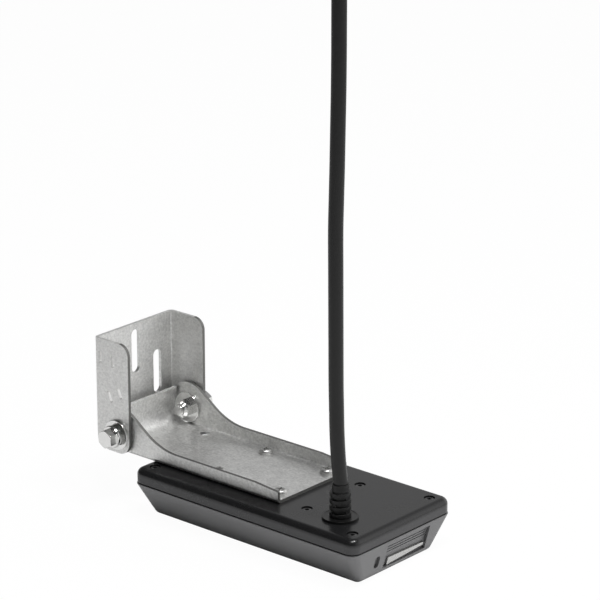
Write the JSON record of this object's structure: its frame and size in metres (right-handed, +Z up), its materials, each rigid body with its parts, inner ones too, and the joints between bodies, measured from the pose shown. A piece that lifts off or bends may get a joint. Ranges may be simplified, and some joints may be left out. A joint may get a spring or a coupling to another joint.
{
  "type": "sonar transducer",
  "caption": "Flat transom-mount sonar transducer: tapered potted housing under a dark cover, folded steel brackets on a tilting bolted pivot, and a cable rising from a ribbed gland.",
  "frame": {"origin": "centre of the housing's flat underside", "axes": "+X along the housing towards the cable end, +Y across the housing to the far side in the picture, +Z up out of the cover"},
  "size_m": [0.2057, 0.0872, 0.372],
  "materials": {
    "housing_plastic": "satin moulded, lighter grey than the cover",
    "cover_plastic": "fine matte texture",
    "seal_rubber": "matte",
    "piezo_ceramic": "unglazed",
    "absorber_rubber": "granular",
    "board_laminate": "solder mask",
    "terminal_plastic": "moulded",
    "core_wire": "insulated wire",
    "strip_steel": "bright",
    "bead_plastic": "potted bead",
    "insert_brass": "turned",
    "screw_steel": "passivated",
    "black_screw_steel": "black oxide",
    "bracket_steel": "fine brushed stainless sheet",
    "gland_plastic": "satin",
    "boot_rubber": "matte",
    "cable_jacket": "satin",
    "plug_plastic": "satin",
    "ring_metal": "nickel plated",
    "pin_brass": "gold plated",
    "bolt_steel": "bright machined",
    "spring_steel": "satin",
    "washer_plastic": "satin"
  },
  "bodies": {
    "transducer": {"lower_housing": "housing_plastic", "top_cover": "cover_plastic", "cover_gasket": "seal_rubber", "port_side_array": "piezo_ceramic", "starboard_side_array": "piezo_ceramic", "down_array": "piezo_ceramic", "chirp_element": "piezo_ceramic", "acoustic_absorber": "absorber_rubber", "circuit_board": "board_laminate", "cable_terminal": "terminal_plastic", "cable_cores": "core_wire", "temperature_strip": "strip_steel", "thermistor": "bead_plastic", "housing_inserts": "insert_brass", "cover_inserts": "insert_brass", "cover_screws": "black_screw_steel", "transducer_bracket": "bracket_steel", "bracket_screws": "screw_steel", "cable_gland": "gland_plastic", "gland_seal": "seal_rubber", "gland_nut": "gland_plastic", "strain_relief": "boot_rubber", "cable": "cable_jacket", "plug_body": "plug_plastic", "plug_ring": "ring_metal", "plug_insert": "plug_plastic", "plug_pins": "pin_brass"},
    "transom_mount": {"transom_bracket": "bracket_steel", "pivot_bolts": "bolt_steel", "head_washers": "bolt_steel", "disc_springs": "spring_steel", "friction_washers": "washer_plastic", "nut_washers": "bolt_steel", "lock_nuts": "bolt_steel"}
  },
  "joints": [
    {"name": "tilt_pivot", "type": "hinge", "parent": "transducer", "child": "transom_mount", "pos_m": [-0.1049, 0, 0.0416], "axis": [0, 1, 0], "range_deg": [-90, 90]}
  ]
}
